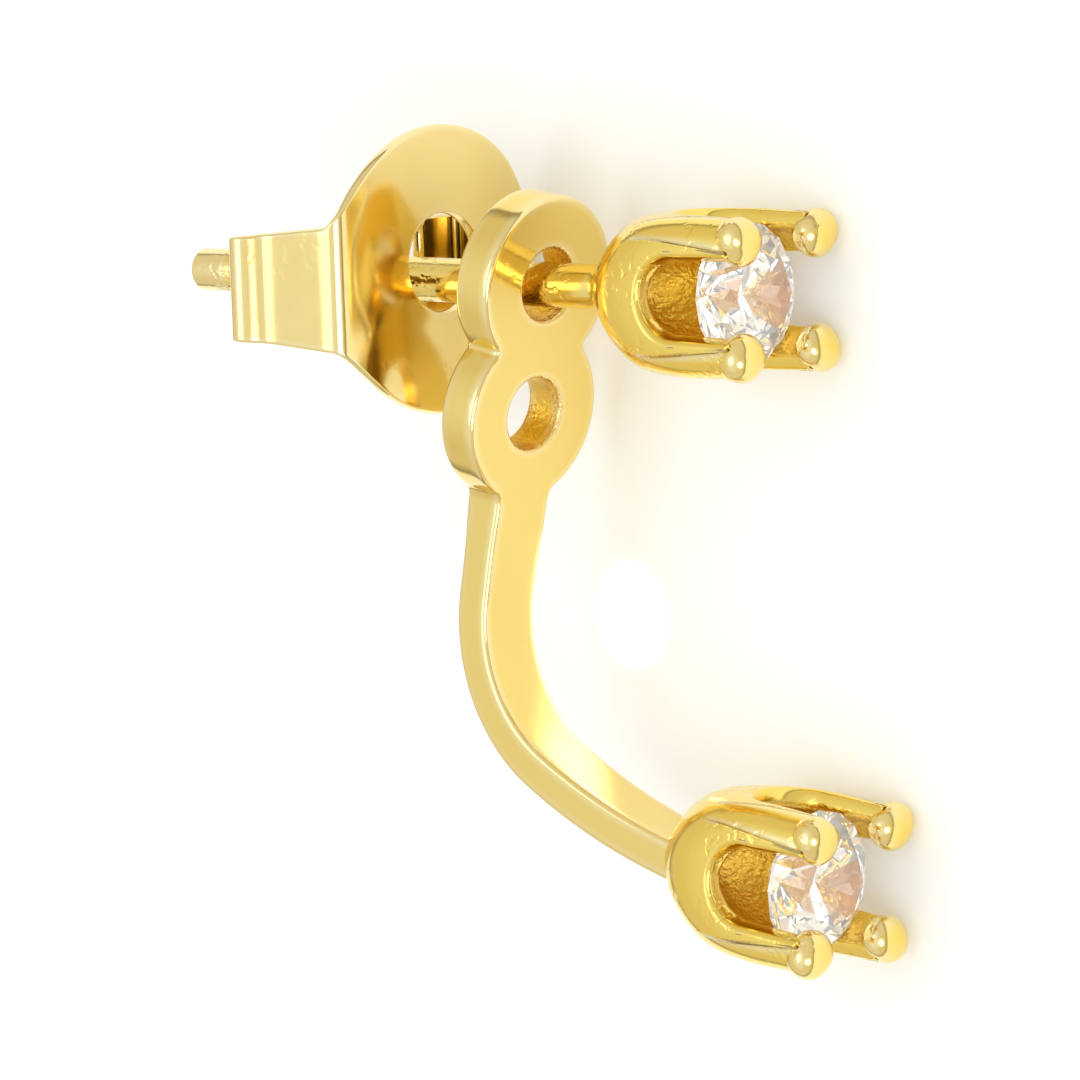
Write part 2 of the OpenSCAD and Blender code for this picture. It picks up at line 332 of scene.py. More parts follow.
def mix_colours(tree, factor, first, second):
    """A colour Mix node. Each input is a socket or a value."""
    mix = node(tree, "ShaderNodeMix", data_type="RGBA")
    for number, value in ((0, factor), (6, first), (7, second)):
        feed(tree, mix.inputs[number], value)
    return mix.outputs[2]


def map_range(tree, value, start, stop, low=0.0, high=1.0, ease="SMOOTHSTEP"):
    """A Map Range node: low up to start, high from stop on, and a ramp between."""
    return node(tree, "ShaderNodeMapRange", interpolation_type=ease, Value=value, From_Min=start,
                From_Max=stop, To_Min=low, To_Max=high).outputs["Result"]


def noises(tree, *kinds):
    """Noise textures on Object coordinates, each from (scale, detail, roughness).

    The coordinates are in metres, so a feature is about 1000 / scale mm wide.
    """
    place = node(tree, "ShaderNodeTexCoord").outputs["Object"]
    return [node(tree, "ShaderNodeTexNoise", Vector=place, Scale=scale, Detail=detail,
                 Roughness=roughness).outputs["Fac"] for scale, detail, roughness in kinds]


def new_material(name):
    """A material whose node tree is empty, and that tree."""
    material = bpy.data.materials.new(name)
    material.use_nodes = True
    material.node_tree.nodes.clear()
    return material, material.node_tree


# %% Shared group: tone of the plating
POOL_RAMP = (0.45, 0.75)  # noise values between which the plating pools

plating, given, result = new_group(
    "plating tone",
    {"Colour": (0.9, 0.6, 0.2, 1), "Pool": (0.7, 0.35, 0.05, 1), "Pale": (1, 0.85, 0.5, 1),
     "Pooling": 0.2, "Wear": 0.0},
    {"Colour": (0.9, 0.6, 0.2, 1)})
clouds, = noises(plating, (420.0, 3.0, 0.55))
cloudy = map_range(plating, clouds, *POOL_RAMP, ease="LINEAR")
pooled = math_node(plating, "MULTIPLY", cloudy, given.outputs["Pooling"])
deepened = mix_colours(plating, pooled, given.outputs["Colour"], given.outputs["Pool"])
lightened = mix_colours(plating, given.outputs["Wear"], deepened, given.outputs["Pale"])
plating.links.new(lightened, result.inputs["Colour"])
print("plating tone has", len(plating.nodes), "nodes")

# %% Shared group: hand polish
PATCH_RAMP, SPECK_RAMP = (0.48, 0.66), (0.50, 0.70)  # noise values: no pits, all pits
PIT_DULLNESS = 0.02  # roughness that a pit of depth one adds

polish, given, result = new_group(
    "hand polish", {"Wave": 1.0, "Grain": 1.0, "Pits": 0.5, "Roughness": 0.12, "Uneven": 0.1},
    {"Height": 0.0, "Roughness": 0.12})
waves, grain, smears, patches, specks = noises(
    polish, (900.0, 1.0, 0.4), (8000.0, 2.0, 0.6), (1600.0, 4.0, 0.65),
    (800.0, 1.0, 0.5), (5200.0, 1.5, 0.5))
wave_height = math_node(polish, "MULTIPLY", waves, given.outputs["Wave"])
grain_height = math_node(polish, "MULTIPLY", grain, given.outputs["Grain"])
level_height = math_node(polish, "ADD", wave_height, grain_height)
pitted = math_node(polish, "MULTIPLY", map_range(polish, patches, *PATCH_RAMP),
                   map_range(polish, specks, *SPECK_RAMP))
pit_depth = math_node(polish, "MULTIPLY", pitted, given.outputs["Pits"])
polish.links.new(math_node(polish, "SUBTRACT", level_height, pit_depth), result.inputs["Height"])
uneven = math_node(polish, "MULTIPLY", smears, given.outputs["Uneven"])
dulled = math_node(polish, "MULTIPLY_ADD", pit_depth, PIT_DULLNESS, given.outputs["Roughness"])
polish.links.new(math_node(polish, "ADD", uneven, dulled), result.inputs["Roughness"])
print("hand polish has", len(polish.nodes), "nodes")

# %% [markdown]
# ## The gold of each kind of piece
#
# One bath plates all the pieces, but each was shaped and polished in its own way.
# Cast claws are the deepest in tone and keep pits, rolled plate is smooth, and
# stamped sheet is the palest. No wheel reaches the cast inside of a setting, so it
# stays grainy. There, and on the walls of the jacket's holes, the mesh's mask also
# turns the gold deeper and darker: painted shade for these hollows.

# %% Golds
ROLLED = (0.90, 0.70, 0.235, 1)
STAMPED = (0.91, 0.735, 0.315, 1)
CAST = (0.95, 0.725, 0.175, 1)
# Painted shade: the gold inside a setting and on the holes' walls is deeper and darker than the cast gold outside.
FROSTED_AND_SHADED = (0.86, 0.53, 0.055, 1)  # inside a setting
DEEP = (0.92, 0.66, 0.17, 1)  # where the plating pooled
PALE = (0.95, 0.82, 0.46, 1)  # on worn edges
BUMP_HEIGHT = 0.00001  # metres: what a height of one stands for

# What the unpolished cast surface adds to the polished one. The extra pooling also deepens the hollows, as painted
# shade.
MORE_POOLING, MORE_GRAIN, MORE_ROUGHNESS, MORE_UNEVEN = 0.7, 9.0, 0.12, 0.1


def gold(name, colour, wave, grain, pits, roughness, uneven, pooling, wear, bump):
    """Polished gold plate. Where the mesh's mask is one, it is grainy, as cast, and painted a deeper, darker gold
    as shade.
    """
    material, tree = new_material(name)
    cast = node(tree, "ShaderNodeAttribute", attribute_name="cast_and_shaded").outputs["Fac"]
    worn = node(tree, "ShaderNodeAttribute", attribute_name="wear").outputs["Fac"]

    def more(extra, value):
        return math_node(tree, "MULTIPLY_ADD", cast, extra, value)  # value + cast * extra

    # Painted shade: where the mask is one, the colour turns to the darker gold of the hollows.
    tone = node(tree, "ShaderNodeGroup", node_tree=plating, Pool=DEEP, Pale=PALE,
                Colour=mix_colours(tree, cast, colour, FROSTED_AND_SHADED),
                Wear=math_node(tree, "MULTIPLY", worn, wear), Pooling=more(MORE_POOLING, pooling))
    surface = node(tree, "ShaderNodeGroup", node_tree=polish, Wave=wave, Pits=pits,
                   Grain=more(MORE_GRAIN, grain), Roughness=more(MORE_ROUGHNESS, roughness),
                   Uneven=more(MORE_UNEVEN, uneven))
    bumps = node(tree, "ShaderNodeBump", Strength=bump, Distance=BUMP_HEIGHT,
                 Height=surface.outputs["Height"])
    metal = node(tree, "ShaderNodeBsdfPrincipled", Metallic=1.0, Normal=bumps.outputs["Normal"],
                 Base_Color=tone.outputs["Colour"], Roughness=surface.outputs["Roughness"])
    node(tree, "ShaderNodeOutputMaterial", Surface=metal.outputs["BSDF"])
    print(f"{name}: {len(tree.nodes)} nodes")
    return material


cast_gold = gold("cast and polished gold", CAST, wave=1.4, grain=0.10, pits=2.6,
                 roughness=0.10, uneven=0.10, pooling=0.25, wear=0.8, bump=0.5)
rolled_gold = gold("rolled and polished gold", ROLLED, wave=0.6, grain=0.04, pits=0.2,
                   roughness=0.08, uneven=0.07, pooling=0.15, wear=0.6, bump=0.4)
sheet_gold = gold("stamped gold sheet", STAMPED, wave=0.8, grain=0.05, pits=0.2,
                  roughness=0.09, uneven=0.08, pooling=0.2, wear=0.6, bump=0.4)

# %% [markdown]
# ## A claw setting
#
# A small setting is cast: a rounded cup whose wall is cut by four arches, so that
# four claws are left, and each claw ends in a bead that is pushed over the stone.
# Cutting arches out of a cup with booleans leaves knife edges. Here the whole cup
# is one skin instead. Each column of points climbs from the back, up the outer
# wall to the edge of an arch or a claw's side, over a rounded lip, and down the
# inner wall to the bowl's floor.

# %% The cup's walls
CUP_HALF, CLAW_H, CLAW_R, BEAD_R = 1.6, 4.5, 0.425, 0.43
CLAW_OFF = CUP_HALF - CLAW_R  # how far a claw's middle is off, both ways
DOME_REACH = CLAW_OFF * np.sqrt(2) + CLAW_R  # how far a claw's outer face is off
DOME_H, DOME_POWER, DOME_SOFT = 3.4, 0.58, 0.36
BOWL_R, BOWL_H, FLOOR_H = 1.44, 2.4, 0.9
ARCH_H, ARCH_R = 2.2, CUP_HALF - 2 * CLAW_R
ARCH_MID = ARCH_H + ARCH_R
WIDEST = 0.705  # a shade less than the sine of 45 degrees
CLOSING_STEPS = 12


def outer_radius(angle, height):
    """Radius of the outer wall: the smaller of a rounded dome and a rounded square.

    The dome is reach * (1 - (1 - h / H)^2)^power. The square has flat sides and
    round corners, and angle is measured from the middle of a flat side.
    """
    folded = np.abs((angle + np.pi / 4) % (np.pi / 2) - np.pi / 4)
    rise = np.clip(height / DOME_H, 0, 1)
    dome = DOME_REACH * (1 - (1 - rise) ** 2) ** DOME_POWER
    flat = CUP_HALF / np.cos(folded)
    gap = CLAW_OFF * (np.cos(folded) - np.sin(folded))
    reach = np.sqrt(np.maximum((CUP_HALF - CLAW_OFF) ** 2 - gap ** 2, 0))
    corner = CLAW_OFF * (np.cos(folded) + np.sin(folded)) + reach
    square = np.where(np.tan(folded) * CUP_HALF < CLAW_OFF, flat, corner)
    return -smooth_max(-dome, -square, DOME_SOFT)


def bowl_radius(angle, height):
    """Radius of the inner wall: the same kind of dome from the floor up, at any angle."""
    rise = np.clip((height - FLOOR_H) / BOWL_H, 0, 1)
    return BOWL_R * (1 - (1 - rise) ** 2) ** DOME_POWER


def angle_at(across, height, radius):
    """The angle at which a wall is that far across from the side's middle.

    It closes in on arcsin(across / radius), as the radius changes with the angle.
    """
    angle = np.arcsin(np.clip(across / CUP_HALF, -WIDEST, WIDEST))
    for _ in range(CLOSING_STEPS):
        angle = np.arcsin(np.clip(across / radius(angle, height), -WIDEST, WIDEST))
    return angle


def wall_points(radius, angle, height):
    """Points of a wall: the radius turned by the angle, at the height."""
    r = radius(angle, height)
    return points_from(r * np.cos(angle), r * np.sin(angle), height)


print("arches", round(2 * ARCH_R, 2), "mm wide, claws", 2 * CLAW_R, "mm")

# %% Columns of the cup, and how they meet its edge
ARCH_STEPS, SIDE_STEPS, TOP_STEPS = 20, 16, 5
RING_H, BOWL_RING_H = 0.9, 1.25  # heights of the low rings, outside and in the bowl
RING_ARCH, RING_SIDE, RING_TOP = np.radians([29, 41, 45])  # ends of the stretches there
RING_CROWD = 1.1  # crowds the ring's points to the arch's middle
CLAW_TOP, CLAW_TAPER = 4.46, 0.08
LIP, LIP_INSIDE, LIP_AT_CLAW = 0.19, 0.13, 0.03


def cup_columns():
    """The columns over an eighth of the way round, as six rows of values.

    They meet the edge over half an arch, up a claw's side and over half of its
    top. The values are how far across and how high the edge is, how far its lip
    leans sideways and upwards, how far the column is drawn to the claw's middle,
    and its angle on the low rings.
    """
    swing = np.linspace(0, np.pi / 2, ARCH_STEPS)
    climb = np.linspace(0, 1, SIDE_STEPS + 1)[1:]
    top = np.linspace(0, 1, TOP_STEPS + 1)[1:]
    stretches = (
        (ARCH_R * np.sin(swing), ARCH_MID - ARCH_R * np.cos(swing), np.sin(swing),
         np.cos(swing), 0, RING_ARCH * np.linspace(0, 1, ARCH_STEPS) ** RING_CROWD),
        (ARCH_R, ARCH_MID + climb * (CLAW_TOP - ARCH_MID), 1, 0, 0,
         RING_ARCH + (RING_SIDE - RING_ARCH) * climb),
        (ARCH_R, CLAW_TOP, 0, 1, top, RING_SIDE + (RING_TOP - RING_SIDE) * top))
    return np.concatenate([points_from(*stretch) for stretch in stretches]).T


def edge_and_base(radius, lip):
    """Points on one wall along the edge, then angles and heights where the lip starts.

    The base is the edge, moved by the lip's width away from the opening.
    """
    across, height, to_side, to_top, centring, _ = cup_columns()
    base_h = height - lip * to_top
    edge = angle_at(across, height, radius)
    base = angle_at(across + lip * to_side, base_h, radius)
    edge, base = (angle + (np.pi / 4 - angle) * centring for angle in (edge, base))
    return wall_points(radius, edge, height), base, base_h


print("columns all round:", 8 * (len(cup_columns()[0]) - 1))

# %% One setting as a single skin
DOME_ROWS, WALL_ROWS, LIP_ROWS, FALL_ROWS, BOWL_ROWS = 15, 25, 15, 17, 9
POLE_CROWD, LIP_POWER = 1.72, 0.75
LIP_GRAIN = 0.375  # share of the lip that is polished


def cup_skin():
    """Points, quads and cast mask of a setting with its back at the origin, claws up +Z.

    Columns are mirrored and turned to go once round. Rows run from the back pole
    to the bowl's floor. From a low ring to the edge, angle and height change
    evenly, so that columns never cross an arch. The lip is a squarish half round.
    """
    across, *_, ring = cup_columns()
    narrowing = np.sin(np.minimum(across / ARCH_R, 1) * np.pi / 2) ** 2
    lip_in = LIP_INSIDE + (LIP_AT_CLAW - LIP_INSIDE) * narrowing
    out_edge, base, base_h = edge_and_base(outer_radius, LIP)
    in_edge, base_in, base_h_in = edge_and_base(bowl_radius, lip_in)

    pole = np.linspace(0, 1, DOME_ROWS)[:, None] ** POLE_CROWD
    up_dome = wall_points(outer_radius, ring, RING_H * pole)
    rise = np.linspace(0, 1, WALL_ROWS)[1:, None]
    up_wall = wall_points(outer_radius, ring + (base - ring) * rise,
                          RING_H + (base_h - RING_H) * rise)

    c, s = half_round(LIP_ROWS, LIP_POWER)
    out_base = wall_points(outer_radius, base, base_h)
    in_base = wall_points(bowl_radius, base_in, base_h_in)
    between = (1 - c[:, None, None]) / 2
    crest = (out_edge + in_edge) / 2 - (out_base + in_base) / 2
    over = (out_base * (1 - between) + in_base * between + s[:, None, None] * crest)[1:]

    fall = np.linspace(0, 1, FALL_ROWS)[1:, None]
    down_wall = wall_points(bowl_radius, base_in + (ring - base_in) * fall,
                            base_h_in + (BOWL_RING_H - base_h_in) * fall)
    pole = (1 - np.linspace(0, 1, BOWL_ROWS)[1:, None]) ** POLE_CROWD
    down_bowl = wall_points(bowl_radius, ring, FLOOR_H + (BOWL_RING_H - FLOOR_H) * pole)
    eighth = np.concatenate([up_dome, up_wall, over, down_wall, down_bowl])

    # The mask: grainy cast metal on the inner part of the lip and in the bowl, where the gold is also painted
    # darker as shade.
    grainy = smooth_step((np.linspace(0, 1, len(over)) - LIP_GRAIN) / (1 - LIP_GRAIN))
    cast = np.concatenate([np.zeros(len(up_dome) + len(up_wall)), grainy,
                           np.ones(len(down_wall) + len(down_bowl))])

    # Thin each claw towards its bead
    high = eighth[..., 2:]
    thin = 1 - CLAW_TAPER * smooth_step((high - ARCH_MID) / (CLAW_TOP - ARCH_MID))
    eighth[..., :2] = CLAW_OFF + (eighth[..., :2] - CLAW_OFF) * np.where(high > ARCH_MID, thin, 1)

    swap = [1, 0, 2]
    quarter = np.concatenate([eighth, eighth[:, -2::-1][..., swap]], axis=1)[:, :-1]
    skin = np.concatenate([quarter, quarter[..., swap] * [-1, 1, 1],
                           quarter * [-1, -1, 1], quarter[..., swap] * [1, -1, 1]], axis=1)
    rows, cols = skin.shape[:2]
    return skin.reshape(-1, 3), grid_quads(rows, cols, wrap_cols=True), np.repeat(cast, cols)


cup_points, cup_quads, cup_mask = cup_skin()
cup_width = 2 * np.abs(cup_points[:, 0]).max()
print("cup skin:", len(cup_points), "points, widest", round(cup_width, 2), "mm")

# %% [markdown]
# ## Beads
#
# A setter leaves a small ball on each claw and pushes it over the stone's edge,
# which smears it inwards. A plain sphere would look like a pin's head. Here a
# ball is drawn out behind, where it runs into the claw, and towards the stone.

# %% Beads and the way a setting stands
BEAD_BACK, BEAD_FRONT = 0.5, 0.36
BEAD_PUSH = 0.3  # how much further a bead reaches over the stone
BEAD_ROWS, BEAD_COLUMNS = 25, 40


def bead_skins():
    """The four beads: each a ball that is drawn out behind, and inwards over the stone.

    With lift and turn as the ball's two angles, a point is r * cos(lift) across and
    r * sin(lift) high, before it is drawn out.
    """
    turn = np.linspace(0, 2 * np.pi, BEAD_COLUMNS, endpoint=False)
    lift = np.linspace(-np.pi / 2, np.pi / 2, BEAD_ROWS)
    inwards = smooth_step((np.cos(turn - np.radians(225)) + 0.2) / 1.2)
    across = BEAD_R * np.cos(lift)[:, None] * (1 + BEAD_PUSH * inwards)
    height = np.where(lift < 0, BEAD_BACK, BEAD_FRONT) * np.sin(lift)
    ball = points_from(across * np.cos(turn), across * np.sin(turn), height[:, None])
    ball = ball.reshape(-1, 3) + [CLAW_OFF, CLAW_OFF, CLAW_H]
    quads = grid_quads(BEAD_ROWS, BEAD_COLUMNS, wrap_cols=True)
    return [(ball * [sx, sy, 1], quads) for sx in (-1, 1) for sy in (-1, 1)]


def setting(to_frame, back, axis):
    """Shells of a cup and its beads, with the back at a place and Z turned to an axis.

    Y stays as it is, and X = Y x Z makes the third direction.
    """
    axis, side = unit(axis), unit([0, 1, 0])
    turn = np.stack([np.cross(side, axis), side, axis])
    skins = [(cup_points, cup_quads)] + bead_skins()
    return [[(to_frame(back + points @ turn), quads)] for points, quads in skins]


print("beads", 2 * BEAD_R, "mm wide and", BEAD_BACK + BEAD_FRONT, "mm long")

# %% [markdown]
# ## The stud
#
# A post is drawn wire. A cylinder would do for the shaft but not for its ends, so
# it is a profile turned about its own line. Near the tip it has a shallow notch,
# where the clutch clicks in. Its other end is soldered into the back of the
# setting, with a small foot of solder round it.

# %% Post and upper setting
POST_R, POST_LEN = 0.45, 11.55
NOTCH_W, NOTCH_DEPTH, TIP_LEN = 0.55, 0.09, 0.9
FOOT_LEN, FOOT_FLARE, FOOT_START, FOOT_RUN = 0.3, 0.07, -0.12, 0.25
NOTCH_POWER = 0.8  # under one, the notch has a flatter floor
BREAK = 0.02  # length of the short straights beside a bend


def turned(profile, columns=64):
    """A profile of (place along the line, radius) turned about the X axis."""
    around = np.linspace(0, 2 * np.pi, columns, endpoint=False)
    x, r = profile[:, :1], profile[:, 1:]
    points = points_from(x, r * np.cos(around), r * np.sin(around))
    return points.reshape(-1, 3), grid_quads(len(profile), columns, wrap_cols=True)


def post_profile():
    """The post from its tip to inside the setting, as (place, radius).

    A flat end, a quarter round edge, a straight, the notch as a power of a sine,
    the shaft, and the foot as a smooth step.
    """
    end, notch = -POST_LEN, TIP_LEN - POST_LEN
    quarter = np.linspace(0, np.pi / 2, 7)
    valley = np.linspace(0, 1, 13)
    foot = np.linspace(-FOOT_LEN, FOOT_LEN, 9)
    shaft = np.linspace(notch + NOTCH_W + BREAK, -FOOT_LEN - 0.05, 24)
    stretches = (
        (end, [0, POST_R / 2, POST_R - NOTCH_DEPTH - BREAK]),
        (end + NOTCH_DEPTH * (1 - np.cos(quarter)), POST_R - NOTCH_DEPTH * (1 - np.sin(quarter))),
        (notch - BREAK, [POST_R]),
        (notch + NOTCH_W * valley, POST_R - NOTCH_DEPTH * np.sin(np.pi * valley) ** NOTCH_POWER),
        (shaft, POST_R),
        (foot, POST_R + FOOT_FLARE * smooth_step((foot - FOOT_START) / FOOT_RUN)),
        (FOOT_LEN, [0]))
    return np.concatenate([points_from(*stretch) for stretch in stretches])


post_points, post_quads = turned(post_profile())
stud_shells = setting(from_worn, [0, 0, 0], [1, 0, 0]) + [[(from_worn(post_points), post_quads)]]
make_piece("stud_gold", stud_shells, "stud", cast_gold, replaces=["stud"],
           masks=[cup_mask] + [None] * 5)

# %% [markdown]
# ## The jacket
#
# The jacket is cut from flat plate: two eyelets like a figure eight, and an arm
# that is bent forward and soldered under the lower setting. A filled curve with a
# bevel would give the plate, but its triangles show in polished metal. Here each
# eyelet is a ring of sections that go once round its metal. Where it meets its
# neighbour or the arm there is no outer edge, and the grids share their points.

# %% Edge profile and arcs
EYELET_R, HOLE_R, HOLE_PITCH = 1.81, 0.74, 2.66
ARM_HALF, ARM_T, ARM_DROP = 0.75, 0.8, 6.5
EDGE, HOLE_EDGE = 0.11, 0.09  # rounding of the outer edges and of the holes' edges
NECK_FILLET, ARM_FILLET = 0.12, 0.32
LINE_STEPS, FILLET_STEPS, ROUND_STEPS = 13, 8, 6
JOINED_STEPS, FREE_STEPS = 72, 60  # points on half an eyelet, between fillets or up to the top


def rim_profile(thickness, edge):
    """How an outer edge goes from the front face to the back, as (out, depth).

    Out is nought at the outline and negative inside it. Depth grows backwards.
    Each edge is a quarter round, and two points stand between them.
    """
    a = np.linspace(0, np.pi / 2, ROUND_STEPS)
    front = points_from(-edge + edge * np.sin(a), edge - edge * np.cos(a))
    back = points_from(-edge + edge * np.cos(a), thickness - edge + edge * np.sin(a))
    return np.concatenate([front, [[0, thickness * 0.3], [0, thickness * 0.7]], back])


def arc(centre, radius, start, stop, count, inward=1):
    """Pairs of a point and its outward direction along an arc, with angles in degrees."""
    a = np.radians(np.linspace(start, stop, count))
    spoke = points_from(np.cos(a), np.sin(a))
    return np.stack([centre + radius * spoke, spoke * inward], axis=1)


def fillet(radius, half=None):
    """The small arc at an eyelet's lower right, and the angle where its circle goes on.

    It touches the circle, and also the arm's side at half, or else its own mirror
    image on the other eyelet. By Pythagoras, the far side is eyelet plus fillet.
    """
    far = (EYELET_R + radius) ** 2
    if half is None:
        centre = np.array([np.sqrt(far - (HOLE_PITCH / 2) ** 2), -HOLE_PITCH / 2])
    else:
        centre = np.array([half + radius, -np.sqrt(far - (half + radius) ** 2)])
    touch = np.degrees(np.arctan2(centre[1], centre[0]))
    return arc(centre, radius, 180, 180 + touch, FILLET_STEPS, inward=-1), touch


print("rim profile has", len(rim_profile(PLATE_T, EDGE)), "points")

# %% Outline of an eyelet
def open_line(corner, upwards):
    """Pairs along the level line from a corner's mirror image to it, without both ends."""
    inset = abs(corner[0]) - EDGE
    line = points_from(np.linspace(-inset, inset, LINE_STEPS)[1:-1], corner[1])
    return np.stack(np.broadcast_arrays(line, [0.0, upwards]), axis=1)


def eyelet_outline(low, joined_above):
    """Outline of one eyelet about its own hole, once round from the lower right.

    low is the fillet it starts with. Returns points, outward directions, and
    whether each point is on an open line instead of an edge. The lower line
    belongs to the arm or the neck, and the upper one to the neck.
    """
    low_arc, low_touch = low
    if joined_above:
        high_arc, high_touch = fillet(NECK_FILLET)
        ring = arc([0, 0], EYELET_R, low_touch, -high_touch, JOINED_STEPS)
        right = np.concatenate([low_arc, ring[1:-1], high_arc[::-1] * [1, -1]])
        top, left = open_line(right[-1, 0], 1)[::-1], (right * [-1, 1])[::-1]
    else:
        right = np.concatenate([low_arc, arc([0, 0], EYELET_R, low_touch, 90, FREE_STEPS)[1:]])
        top, left = right[:0], (right * [-1, 1])[-2::-1]
    stretches = [right, top, left, open_line(right[0, 0], -1)]
    is_open = np.repeat([False, True, False, True], [len(stretch) for stretch in stretches])
    outline, out = np.concatenate(stretches).transpose(1, 0, 2)
    return outline, out, is_open


upper = eyelet_outline(fillet(NECK_FILLET), joined_above=False)
lower = eyelet_outline(fillet(ARM_FILLET, ARM_HALF), joined_above=True)
ARM_START = HOLE_PITCH - lower[0][0][1]
print(f"arm starts {ARM_START:.2f} mm below the upper hole")

# %% An eyelet as sections round its metal
FACE_SHARES = np.array([0, 0.03, 0.12, 0.3, 0.5, 0.7, 0.88, 0.97, 1])[:, None, None]


def eyelet_skin(outline, out, is_open, drop):
    """Points, quads and cast mask of one eyelet, with its hole that far down.

    Each section starts at the hole's front edge and crosses the front face, the
    rim, the back face and the wall of the hole, which is left as it was cut and is
    painted a darker gold as shade.
    """
    spoke = unit(outline)
    inset = np.where(is_open, 0.0, EDGE)[:, None]
    rim_in = outline - out * inset
    hole_in = spoke * (HOLE_R + HOLE_EDGE)
    face = hole_in + (rim_in - hole_in) * FACE_SHARES

    def layer(plane, depth):
        return points_from(-depth, plane[..., 0], plane[..., 1])

    rim = rim_profile(PLATE_T, EDGE)[1:-1]
    rim_rows = np.stack([layer(rim_in + out * (EDGE + o) * ~is_open[:, None], d) for o, d in rim])
    hole = rim_profile(PLATE_T, HOLE_EDGE)[::-1][1:-1]
    hole_rows = np.stack([layer(spoke * (HOLE_R - o), d) for o, d in hole])
    rows = np.concatenate([layer(face, 0.0), rim_rows, layer(face[::-1], PLATE_T), hole_rows])
    count, cols = rows.shape[:2]
    keep = np.ones((count, cols), bool)
    first = len(face) - 1
    keep[first:first + len(rim_rows) + 1, is_open | np.roll(is_open, -1)] = False
    rows[..., 2] -= drop
    # Painted shade: the hole's wall is marked for the darker gold of the hollows.
    cut = np.repeat(np.arange(count) >= count - len(hole_rows), cols)
    quads = grid_quads(count, cols, wrap_rows=True, wrap_cols=True, keep=keep)
    return rows.reshape(-1, 3), quads, cut


upper_eyelet = eyelet_skin(*upper, drop=0.0)
lower_eyelet = eyelet_skin(*lower, drop=HOLE_PITCH)
print("eyelets:", len(upper_eyelet[1]), "and", len(lower_eyelet[1]), "quads")

# %% The arm along its bend
BEND_R, BEND_ANGLE = 3.3, np.radians(70)
SWEEP_R, SWEEP_ANGLE = 14.0, np.radians(14.5)
RUN_IN = 0.7  # length of the straight end inside the setting's back
ARM_FADE = 1.2  # length over which the arm thins from plate to strip
ARM_MID = -PLATE_T / 2


def run_length(line):
    """How far along a line in a plane each of its points is."""
    return np.concatenate([[0], np.cumsum(np.hypot(*np.diff(line, axis=0).T))])


def capped(ring):
    """Points and quads that close a ring of points with a fan to its middle."""
    points = np.concatenate([ring, np.tile(ring.mean(axis=0), (len(ring), 1))])
    return points, grid_quads(2, len(ring), wrap_cols=True)


def arm_path():
    """Middle line of the arm from the side, the angle it has turned by, and its end.

    Straight down, an arc of small radius, one of large radius, and a straight run
    into the back of the setting. The end is where that run starts.
    """
    straight = np.linspace(0, ARM_DROP - ARM_START, 14)
    bend = np.linspace(0, BEND_ANGLE, 41)[1:]
    sweep = BEND_ANGLE + np.linspace(0, SWEEP_ANGLE, 17)[1:]
    run_in = np.linspace(0, RUN_IN, 5)[1:]
    bend_x = ARM_MID + BEND_R * (1 - np.cos(bend))
    bend_z = -ARM_DROP - BEND_R * np.sin(bend)
    sweep_x = bend_x[-1] + SWEEP_R * np.cos(BEND_ANGLE) - SWEEP_R * np.cos(sweep)
    sweep_z = bend_z[-1] + SWEEP_R * np.sin(BEND_ANGLE) - SWEEP_R * np.sin(sweep)
    x = np.concatenate([ARM_MID + 0 * straight, bend_x, sweep_x,
                        sweep_x[-1] + run_in * np.sin(sweep[-1])])
    z = np.concatenate([-ARM_START - straight, bend_z, sweep_z,
                        sweep_z[-1] - run_in * np.cos(sweep[-1])])
    heading = np.concatenate([0 * straight, bend, sweep, sweep[-1] + 0 * run_in])
    return points_from(x, z), heading, [sweep_x[-1], 0.0, sweep_z[-1]]


def arm_skin(line, heading):
    """The arm: a flat strip with rounded edges carried along its middle line.

    Across is Y, and the front face looks along (cos heading, sin heading) in X, Z.
    """
    x, z = line.T[..., None]
    thickness = PLATE_T + (ARM_T - PLATE_T) * smooth_step(run_length(line) / ARM_FADE)
    flat = np.linspace(-(ARM_HALF - EDGE), ARM_HALF - EDGE, LINE_STEPS)
    rim_out = rim_profile(1.0, EDGE)[1:-1, 0]
    y = np.concatenate([flat, ARM_HALF + rim_out, flat[::-1], -ARM_HALF - rim_out[::-1]])
    rims = np.stack([rim_profile(t, EDGE)[1:-1, 1] for t in thickness])
    front = np.zeros((len(line), LINE_STEPS))
    depth = np.concatenate([front, rims, front + thickness[:, None], rims[:, ::-1]], axis=1)
    through = thickness[:, None] / 2 - depth
    points = points_from(x + through * np.cos(heading)[:, None], y,
                         z + through * np.sin(heading)[:, None])
    rows, cols = points.shape[:2]
    return [(points.reshape(-1, 3), grid_quads(rows, cols, wrap_cols=True)), capped(points[-1])]


arm_line, arm_heading, arm_end = arm_path()
arm_shell = arm_skin(arm_line, arm_heading)
print(f"the arm is {run_length(arm_line)[-1]:.1f} mm long")

# %% Jacket with its setting
CUP_TILT = np.radians(5.5)

plate_shell = [upper_eyelet[:2], lower_eyelet[:2]] + arm_shell
arm_size = sum(len(points) for points, _ in arm_shell)
plate_mask = np.concatenate([upper_eyelet[2], lower_eyelet[2], np.zeros(arm_size)])
make_piece("jacket_plate_gold", [[(from_jacket(p), q) for p, q in plate_shell]],
           "jacket", rolled_gold, replaces=["jacket"], masks=[plate_mask])
lower_setting = setting(from_jacket, arm_end, [np.cos(CUP_TILT), 0.0, np.sin(CUP_TILT)])
make_piece("jacket_setting_gold", lower_setting, "jacket", cast_gold,
           masks=[cup_mask] + [None] * 4)

